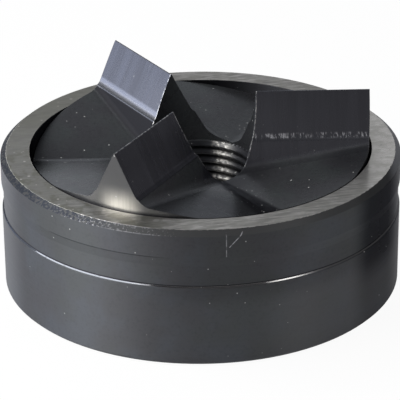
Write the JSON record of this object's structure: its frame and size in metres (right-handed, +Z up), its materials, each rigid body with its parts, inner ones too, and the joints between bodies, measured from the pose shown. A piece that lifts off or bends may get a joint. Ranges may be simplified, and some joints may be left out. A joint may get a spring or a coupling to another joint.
{
  "type": "knockout punch",
  "caption": "Slug-splitting sheet-metal knockout punch with wedge teeth and a threaded centre, standing teeth up in its cup-shaped steel die.",
  "frame": {"origin": "centre of the die's flat base", "axes": "+Z up along the common axis of die and punch, towards the tooth tips; +X along one tooth"},
  "size_m": [0.0705, 0.0704, 0.0347],
  "materials": {
    "die_steel": "black oxide, with the rim's top face ground bare",
    "punch_steel": "black oxide, with ground tooth flanks"
  },
  "bodies": {
    "root": {"die": "die_steel", "punch": "punch_steel"}
  },
  "joints": []
}
